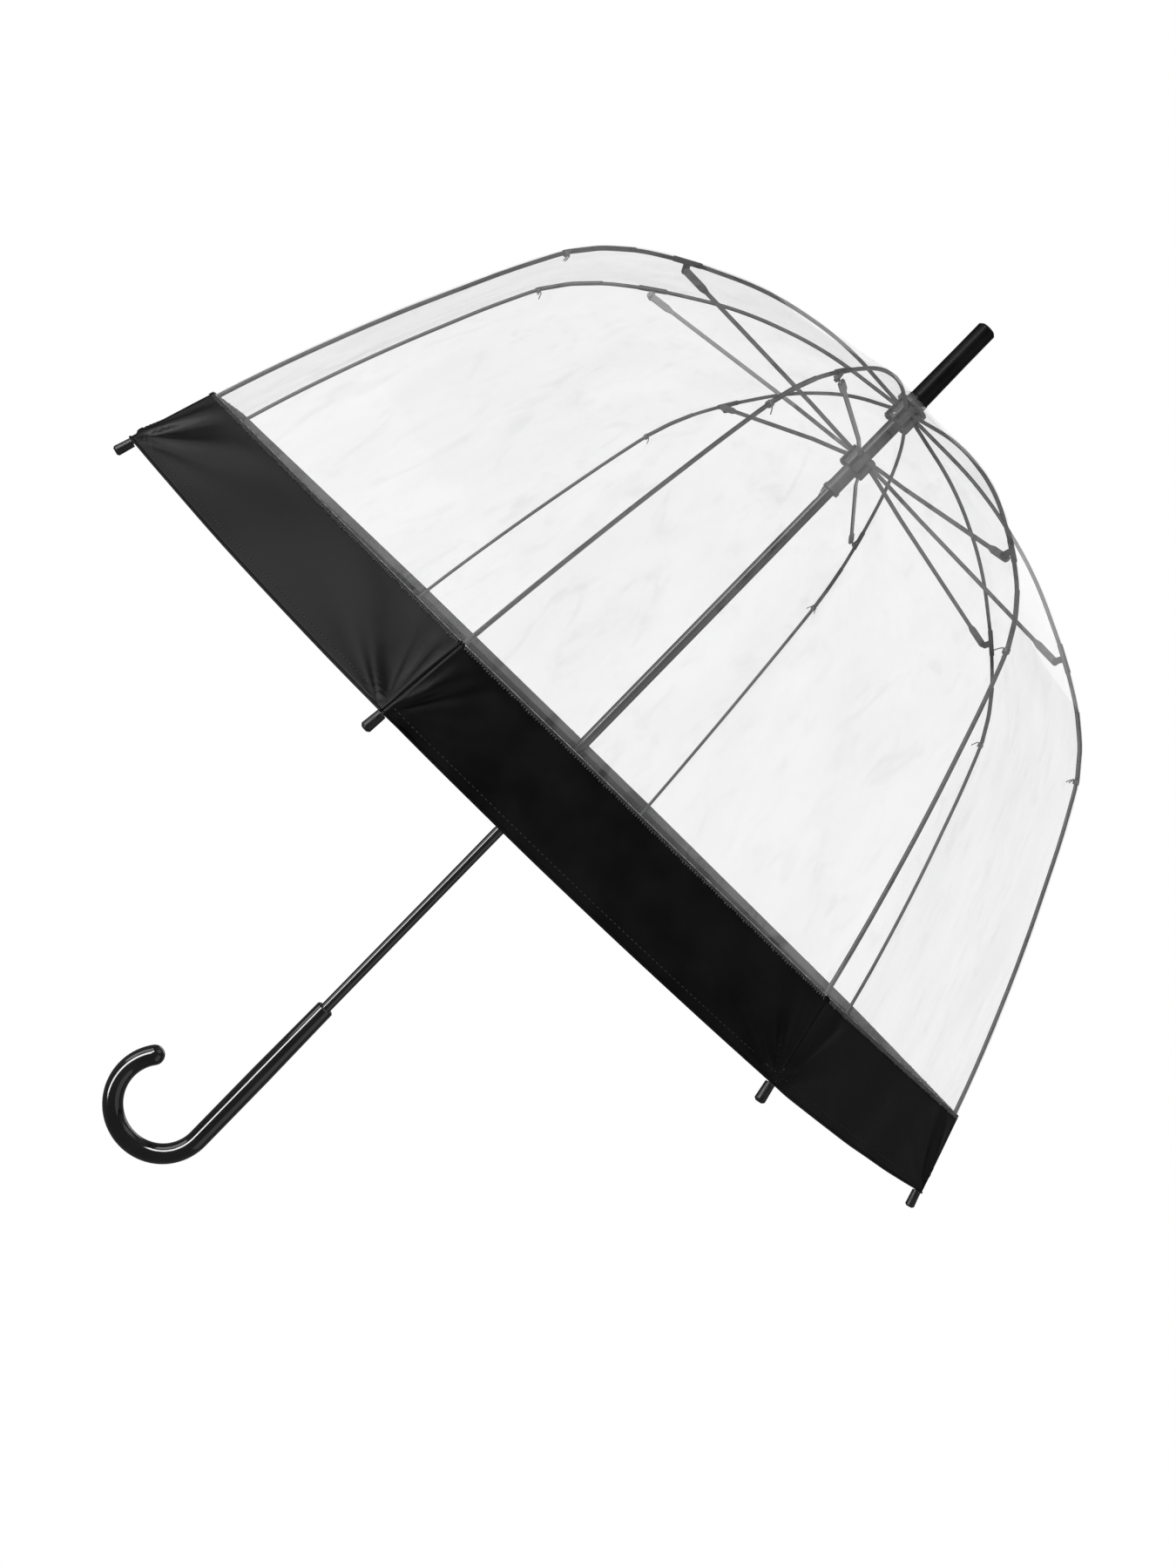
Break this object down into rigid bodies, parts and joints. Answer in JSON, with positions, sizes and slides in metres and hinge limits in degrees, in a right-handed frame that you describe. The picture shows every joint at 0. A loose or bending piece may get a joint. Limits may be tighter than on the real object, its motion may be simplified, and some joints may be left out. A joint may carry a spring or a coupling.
{
  "type": "dome umbrella",
  "caption": "Clear dome umbrella with a black hem, straight shaft, hooked handle, sliding runner and folding ribs and stretchers.",
  "frame": {"origin": "on the shaft's axis in the middle of the straight grip", "axes": "+Z along the shaft towards the ferrule, the handle's hook curves towards -X"},
  "size_m": [0.8338, 0.8338, 0.9388],
  "materials": {
    "shaft_black": "gloss",
    "ferrule_black": "satin",
    "fitting_dark": "satin",
    "spring_steel": "plated",
    "plastic_black": "satin",
    "stop_tube_black": "satin",
    "handle_gloss": "gloss",
    "runner_plastic": "satin",
    "rib_grey": "satin",
    "stretcher_grey": "satin",
    "clear_film": "clear flexible film",
    "hem_fabric": "satin weave"
  },
  "bodies": {
    "root": {"shaft": "shaft_black", "ferrule": "ferrule_black", "crown_notch": "fitting_dark", "crown_wire": "spring_steel", "crown_pin": "spring_steel", "canopy_washer": "plastic_black", "stop_sleeve": "stop_tube_black", "handle": "handle_gloss"},
    "runner": {"runner_sleeve": "runner_plastic", "runner_wire": "spring_steel"},
    "top_catch": {"top_catch": "spring_steel"},
    "bottom_catch": {"bottom_catch": "spring_steel"},
    "rib_upper_1": {"rib_upper_1": "rib_grey"},
    "rib_lower_1": {"rib_lower_1": "rib_grey"},
    "stretcher_1": {"stretcher_1": "stretcher_grey"},
    "panel_upper_1": {"panel_upper_1": "clear_film"},
    "panel_lower_1": {"panel_lower_1": "clear_film", "hem_1": "hem_fabric"},
    "rib_upper_2": {"rib_upper_2": "rib_grey"},
    "rib_lower_2": {"rib_lower_2": "rib_grey"},
    "stretcher_2": {"stretcher_2": "stretcher_grey"},
    "panel_upper_2": {"panel_upper_2": "clear_film"},
    "panel_lower_2": {"panel_lower_2": "clear_film", "hem_2": "hem_fabric"},
    "rib_upper_3": {"rib_upper_3": "rib_grey"},
    "rib_lower_3": {"rib_lower_3": "rib_grey"},
    "stretcher_3": {"stretcher_3": "stretcher_grey"},
    "panel_upper_3": {"panel_upper_3": "clear_film"},
    "panel_lower_3": {"panel_lower_3": "clear_film", "hem_3": "hem_fabric"},
    "rib_upper_4": {"rib_upper_4": "rib_grey"},
    "rib_lower_4": {"rib_lower_4": "rib_grey"},
    "stretcher_4": {"stretcher_4": "stretcher_grey"},
    "panel_upper_4": {"panel_upper_4": "clear_film"},
    "panel_lower_4": {"panel_lower_4": "clear_film", "hem_4": "hem_fabric"},
    "rib_upper_5": {"rib_upper_5": "rib_grey"},
    "rib_lower_5": {"rib_lower_5": "rib_grey"},
    "stretcher_5": {"stretcher_5": "stretcher_grey"},
    "panel_upper_5": {"panel_upper_5": "clear_film"},
    "panel_lower_5": {"panel_lower_5": "clear_film", "hem_5": "hem_fabric"},
    "rib_upper_6": {"rib_upper_6": "rib_grey"},
    "rib_lower_6": {"rib_lower_6": "rib_grey"},
    "stretcher_6": {"stretcher_6": "stretcher_grey"},
    "panel_upper_6": {"panel_upper_6": "clear_film"},
    "panel_lower_6": {"panel_lower_6": "clear_film", "hem_6": "hem_fabric"},
    "rib_upper_7": {"rib_upper_7": "rib_grey"},
    "rib_lower_7": {"rib_lower_7": "rib_grey"},
    "stretcher_7": {"stretcher_7": "stretcher_grey"},
    "panel_upper_7": {"panel_upper_7": "clear_film"},
    "panel_lower_7": {"panel_lower_7": "clear_film", "hem_7": "hem_fabric"},
    "rib_upper_8": {"rib_upper_8": "rib_grey"},
    "rib_lower_8": {"rib_lower_8": "rib_grey"},
    "stretcher_8": {"stretcher_8": "stretcher_grey"},
    "panel_upper_8": {"panel_upper_8": "clear_film"},
    "panel_lower_8": {"panel_lower_8": "clear_film", "hem_8": "hem_fabric"}
  },
  "joints": [
    {"name": "runner_slide", "type": "slide", "parent": "root", "child": "runner", "axis": [0, 0, -1], "range_m": [0, 0.3798], "deforming": ["panel_upper_1", "panel_lower_1", "hem_1", "panel_upper_2", "panel_lower_2", "hem_2", "panel_upper_3", "panel_lower_3", "hem_3", "panel_upper_4", "panel_lower_4", "hem_4", "panel_upper_5", "panel_lower_5", "hem_5", "panel_upper_6", "panel_lower_6", "hem_6", "panel_upper_7", "panel_lower_7", "hem_7", "panel_upper_8", "panel_lower_8", "hem_8", "top_catch", "bottom_catch"]},
    {"name": "top_catch_press", "type": "slide", "parent": "root", "child": "top_catch", "axis": [1, 0, 0], "range_m": [0, 0.0022], "stiffness_N_per_m": 2500},
    {"name": "bottom_catch_press", "type": "slide", "parent": "root", "child": "bottom_catch", "axis": [1, 0, 0], "range_m": [0, 0.0022], "stiffness_N_per_m": 2500},
    {"name": "rib_fold_1", "type": "hinge", "parent": "root", "child": "rib_upper_1", "pos_m": [0.00671, 0.00436, 0.728], "axis": [-0.5446, 0.8387, 0], "range_deg": [0, 67.59]},
    {"name": "rib_bend_1", "type": "hinge", "parent": "rib_upper_1", "child": "rib_lower_1", "pos_m": [0.23231, 0.15086, 0.626], "axis": [-0.5446, 0.8387, 0], "range_deg": [-46.51, 0]},
    {"name": "stretcher_fold_1", "type": "hinge", "parent": "runner", "child": "stretcher_1", "pos_m": [0.00671, 0.00436, 0.678], "axis": [-0.5446, 0.8387, 0], "range_deg": [-89.13, 0]},
    {"name": "panel_fold_1", "type": "hinge", "parent": "root", "child": "panel_upper_1", "pos_m": [0.00706, 0.01028, 0.7324], "axis": [-0.8241, 0.5664, 0], "range_deg": [0, 66.01]},
    {"name": "panel_bend_1", "type": "hinge", "parent": "panel_upper_1", "child": "panel_lower_1", "pos_m": [0.1459, 0.21229, 0.62772], "axis": [-0.8241, 0.5664, 0], "range_deg": [-46.51, 0]},
    {"name": "rib_fold_2", "type": "hinge", "parent": "root", "child": "rib_upper_2", "pos_m": [0.00166, 0.00783, 0.728], "axis": [-0.9781, 0.2079, 0], "range_deg": [0, 67.59]},
    {"name": "rib_bend_2", "type": "hinge", "parent": "rib_upper_2", "child": "rib_lower_2", "pos_m": [0.05759, 0.27095, 0.626], "axis": [-0.9781, 0.2079, 0], "range_deg": [-46.51, 0]},
    {"name": "stretcher_fold_2", "type": "hinge", "parent": "runner", "child": "stretcher_2", "pos_m": [0.00166, 0.00783, 0.678], "axis": [-0.9781, 0.2079, 0], "range_deg": [-89.13, 0]},
    {"name": "panel_fold_2", "type": "hinge", "parent": "root", "child": "panel_upper_2", "pos_m": [-0.00227, 0.01226, 0.7324], "axis": [-0.9833, -0.1822, 0], "range_deg": [0, 66.01]},
    {"name": "panel_bend_2", "type": "hinge", "parent": "panel_upper_2", "child": "panel_lower_2", "pos_m": [-0.04694, 0.25328, 0.62772], "axis": [-0.9833, -0.1822, 0], "range_deg": [-46.51, 0]},
    {"name": "rib_fold_3", "type": "hinge", "parent": "root", "child": "rib_upper_3", "pos_m": [-0.00436, 0.00671, 0.728], "axis": [-0.8387, -0.5446, 0], "range_deg": [0, 67.59]},
    {"name": "rib_bend_3", "type": "hinge", "parent": "rib_upper_3", "child": "rib_lower_3", "pos_m": [-0.15086, 0.23231, 0.626], "axis": [-0.8387, -0.5446, 0], "range_deg": [-46.51, 0]},
    {"name": "stretcher_fold_3", "type": "hinge", "parent": "runner", "child": "stretcher_3", "pos_m": [-0.00436, 0.00671, 0.678], "axis": [-0.8387, -0.5446, 0], "range_deg": [-89.13, 0]},
    {"name": "panel_fold_3", "type": "hinge", "parent": "root", "child": "panel_upper_3", "pos_m": [-0.01028, 0.00706, 0.7324], "axis": [-0.5664, -0.8241, 0], "range_deg": [0, 66.01]},
    {"name": "panel_bend_3", "type": "hinge", "parent": "panel_upper_3", "child": "panel_lower_3", "pos_m": [-0.21229, 0.1459, 0.62772], "axis": [-0.5664, -0.8241, 0], "range_deg": [-46.51, 0]},
    {"name": "rib_fold_4", "type": "hinge", "parent": "root", "child": "rib_upper_4", "pos_m": [-0.00783, 0.00166, 0.728], "axis": [-0.2079, -0.9781, 0], "range_deg": [0, 67.59]},
    {"name": "rib_bend_4", "type": "hinge", "parent": "rib_upper_4", "child": "rib_lower_4", "pos_m": [-0.27095, 0.05759, 0.626], "axis": [-0.2079, -0.9781, 0], "range_deg": [-46.51, 0]},
    {"name": "stretcher_fold_4", "type": "hinge", "parent": "runner", "child": "stretcher_4", "pos_m": [-0.00783, 0.00166, 0.678], "axis": [-0.2079, -0.9781, 0], "range_deg": [-89.13, 0]},
    {"name": "panel_fold_4", "type": "hinge", "parent": "root", "child": "panel_upper_4", "pos_m": [-0.01226, -0.00227, 0.7324], "axis": [0.1822, -0.9833, 0], "range_deg": [0, 66.01]},
    {"name": "panel_bend_4", "type": "hinge", "parent": "panel_upper_4", "child": "panel_lower_4", "pos_m": [-0.25328, -0.04694, 0.62772], "axis": [0.1822, -0.9833, 0], "range_deg": [-46.51, 0]},
    {"name": "rib_fold_5", "type": "hinge", "parent": "root", "child": "rib_upper_5", "pos_m": [-0.00671, -0.00436, 0.728], "axis": [0.5446, -0.8387, 0], "range_deg": [0, 67.59]},
    {"name": "rib_bend_5", "type": "hinge", "parent": "rib_upper_5", "child": "rib_lower_5", "pos_m": [-0.23231, -0.15086, 0.626], "axis": [0.5446, -0.8387, 0], "range_deg": [-46.51, 0]},
    {"name": "stretcher_fold_5", "type": "hinge", "parent": "runner", "child": "stretcher_5", "pos_m": [-0.00671, -0.00436, 0.678], "axis": [0.5446, -0.8387, 0], "range_deg": [-89.13, 0]},
    {"name": "panel_fold_5", "type": "hinge", "parent": "root", "child": "panel_upper_5", "pos_m": [-0.00706, -0.01028, 0.7324], "axis": [0.8241, -0.5664, 0], "range_deg": [0, 66.01]},
    {"name": "panel_bend_5", "type": "hinge", "parent": "panel_upper_5", "child": "panel_lower_5", "pos_m": [-0.1459, -0.21229, 0.62772], "axis": [0.8241, -0.5664, 0], "range_deg": [-46.51, 0]},
    {"name": "rib_fold_6", "type": "hinge", "parent": "root", "child": "rib_upper_6", "pos_m": [-0.00166, -0.00783, 0.728], "axis": [0.9781, -0.2079, 0], "range_deg": [0, 67.59]},
    {"name": "rib_bend_6", "type": "hinge", "parent": "rib_upper_6", "child": "rib_lower_6", "pos_m": [-0.05759, -0.27095, 0.626], "axis": [0.9781, -0.2079, 0], "range_deg": [-46.51, 0]},
    {"name": "stretcher_fold_6", "type": "hinge", "parent": "runner", "child": "stretcher_6", "pos_m": [-0.00166, -0.00783, 0.678], "axis": [0.9781, -0.2079, 0], "range_deg": [-89.13, 0]},
    {"name": "panel_fold_6", "type": "hinge", "parent": "root", "child": "panel_upper_6", "pos_m": [0.00227, -0.01226, 0.7324], "axis": [0.9833, 0.1822, 0], "range_deg": [0, 66.01]},
    {"name": "panel_bend_6", "type": "hinge", "parent": "panel_upper_6", "child": "panel_lower_6", "pos_m": [0.04694, -0.25328, 0.62772], "axis": [0.9833, 0.1822, 0], "range_deg": [-46.51, 0]},
    {"name": "rib_fold_7", "type": "hinge", "parent": "root", "child": "rib_upper_7", "pos_m": [0.00436, -0.00671, 0.728], "axis": [0.8387, 0.5446, 0], "range_deg": [0, 67.59]},
    {"name": "rib_bend_7", "type": "hinge", "parent": "rib_upper_7", "child": "rib_lower_7", "pos_m": [0.15086, -0.23231, 0.626], "axis": [0.8387, 0.5446, 0], "range_deg": [-46.51, 0]},
    {"name": "stretcher_fold_7", "type": "hinge", "parent": "runner", "child": "stretcher_7", "pos_m": [0.00436, -0.00671, 0.678], "axis": [0.8387, 0.5446, 0], "range_deg": [-89.13, 0]},
    {"name": "panel_fold_7", "type": "hinge", "parent": "root", "child": "panel_upper_7", "pos_m": [0.01028, -0.00706, 0.7324], "axis": [0.5664, 0.8241, 0], "range_deg": [0, 66.01]},
    {"name": "panel_bend_7", "type": "hinge", "parent": "panel_upper_7", "child": "panel_lower_7", "pos_m": [0.21229, -0.1459, 0.62772], "axis": [0.5664, 0.8241, 0], "range_deg": [-46.51, 0]},
    {"name": "rib_fold_8", "type": "hinge", "parent": "root", "child": "rib_upper_8", "pos_m": [0.00783, -0.00166, 0.728], "axis": [0.2079, 0.9781, 0], "range_deg": [0, 67.59]},
    {"name": "rib_bend_8", "type": "hinge", "parent": "rib_upper_8", "child": "rib_lower_8", "pos_m": [0.27095, -0.05759, 0.626], "axis": [0.2079, 0.9781, 0], "range_deg": [-46.51, 0]},
    {"name": "stretcher_fold_8", "type": "hinge", "parent": "runner", "child": "stretcher_8", "pos_m": [0.00783, -0.00166, 0.678], "axis": [0.2079, 0.9781, 0], "range_deg": [-89.13, 0]},
    {"name": "panel_fold_8", "type": "hinge", "parent": "root", "child": "panel_upper_8", "pos_m": [0.01226, 0.00227, 0.7324], "axis": [-0.1822, 0.9833, 0], "range_deg": [0, 66.01]},
    {"name": "panel_bend_8", "type": "hinge", "parent": "panel_upper_8", "child": "panel_lower_8", "pos_m": [0.25328, 0.04694, 0.62772], "axis": [-0.1822, 0.9833, 0], "range_deg": [-46.51, 0]}
  ],
  "couplings": [
    {"joint": "rib_fold_1", "follows": "runner_slide", "rad_per_m": 3.1057},
    {"joint": "rib_bend_1", "follows": "runner_slide", "rad_per_m": -2.1369},
    {"joint": "stretcher_fold_1", "follows": "runner_slide", "rad_per_m": -4.0955},
    {"joint": "panel_fold_1", "follows": "runner_slide", "rad_per_m": 3.033},
    {"joint": "panel_bend_1", "follows": "runner_slide", "rad_per_m": -2.1369},
    {"joint": "rib_fold_2", "follows": "runner_slide", "rad_per_m": 3.1057},
    {"joint": "rib_bend_2", "follows": "runner_slide", "rad_per_m": -2.1369},
    {"joint": "stretcher_fold_2", "follows": "runner_slide", "rad_per_m": -4.0955},
    {"joint": "panel_fold_2", "follows": "runner_slide", "rad_per_m": 3.033},
    {"joint": "panel_bend_2", "follows": "runner_slide", "rad_per_m": -2.1369},
    {"joint": "rib_fold_3", "follows": "runner_slide", "rad_per_m": 3.1057},
    {"joint": "rib_bend_3", "follows": "runner_slide", "rad_per_m": -2.1369},
    {"joint": "stretcher_fold_3", "follows": "runner_slide", "rad_per_m": -4.0955},
    {"joint": "panel_fold_3", "follows": "runner_slide", "rad_per_m": 3.033},
    {"joint": "panel_bend_3", "follows": "runner_slide", "rad_per_m": -2.1369},
    {"joint": "rib_fold_4", "follows": "runner_slide", "rad_per_m": 3.1057},
    {"joint": "rib_bend_4", "follows": "runner_slide", "rad_per_m": -2.1369},
    {"joint": "stretcher_fold_4", "follows": "runner_slide", "rad_per_m": -4.0955},
    {"joint": "panel_fold_4", "follows": "runner_slide", "rad_per_m": 3.033},
    {"joint": "panel_bend_4", "follows": "runner_slide", "rad_per_m": -2.1369},
    {"joint": "rib_fold_5", "follows": "runner_slide", "rad_per_m": 3.1057},
    {"joint": "rib_bend_5", "follows": "runner_slide", "rad_per_m": -2.1369},
    {"joint": "stretcher_fold_5", "follows": "runner_slide", "rad_per_m": -4.0955},
    {"joint": "panel_fold_5", "follows": "runner_slide", "rad_per_m": 3.033},
    {"joint": "panel_bend_5", "follows": "runner_slide", "rad_per_m": -2.1369},
    {"joint": "rib_fold_6", "follows": "runner_slide", "rad_per_m": 3.1057},
    {"joint": "rib_bend_6", "follows": "runner_slide", "rad_per_m": -2.1369},
    {"joint": "stretcher_fold_6", "follows": "runner_slide", "rad_per_m": -4.0955},
    {"joint": "panel_fold_6", "follows": "runner_slide", "rad_per_m": 3.033},
    {"joint": "panel_bend_6", "follows": "runner_slide", "rad_per_m": -2.1369},
    {"joint": "rib_fold_7", "follows": "runner_slide", "rad_per_m": 3.1057},
    {"joint": "rib_bend_7", "follows": "runner_slide", "rad_per_m": -2.1369},
    {"joint": "stretcher_fold_7", "follows": "runner_slide", "rad_per_m": -4.0955},
    {"joint": "panel_fold_7", "follows": "runner_slide", "rad_per_m": 3.033},
    {"joint": "panel_bend_7", "follows": "runner_slide", "rad_per_m": -2.1369},
    {"joint": "rib_fold_8", "follows": "runner_slide", "rad_per_m": 3.1057},
    {"joint": "rib_bend_8", "follows": "runner_slide", "rad_per_m": -2.1369},
    {"joint": "stretcher_fold_8", "follows": "runner_slide", "rad_per_m": -4.0955},
    {"joint": "panel_fold_8", "follows": "runner_slide", "rad_per_m": 3.033},
    {"joint": "panel_bend_8", "follows": "runner_slide", "rad_per_m": -2.1369}
  ]
}
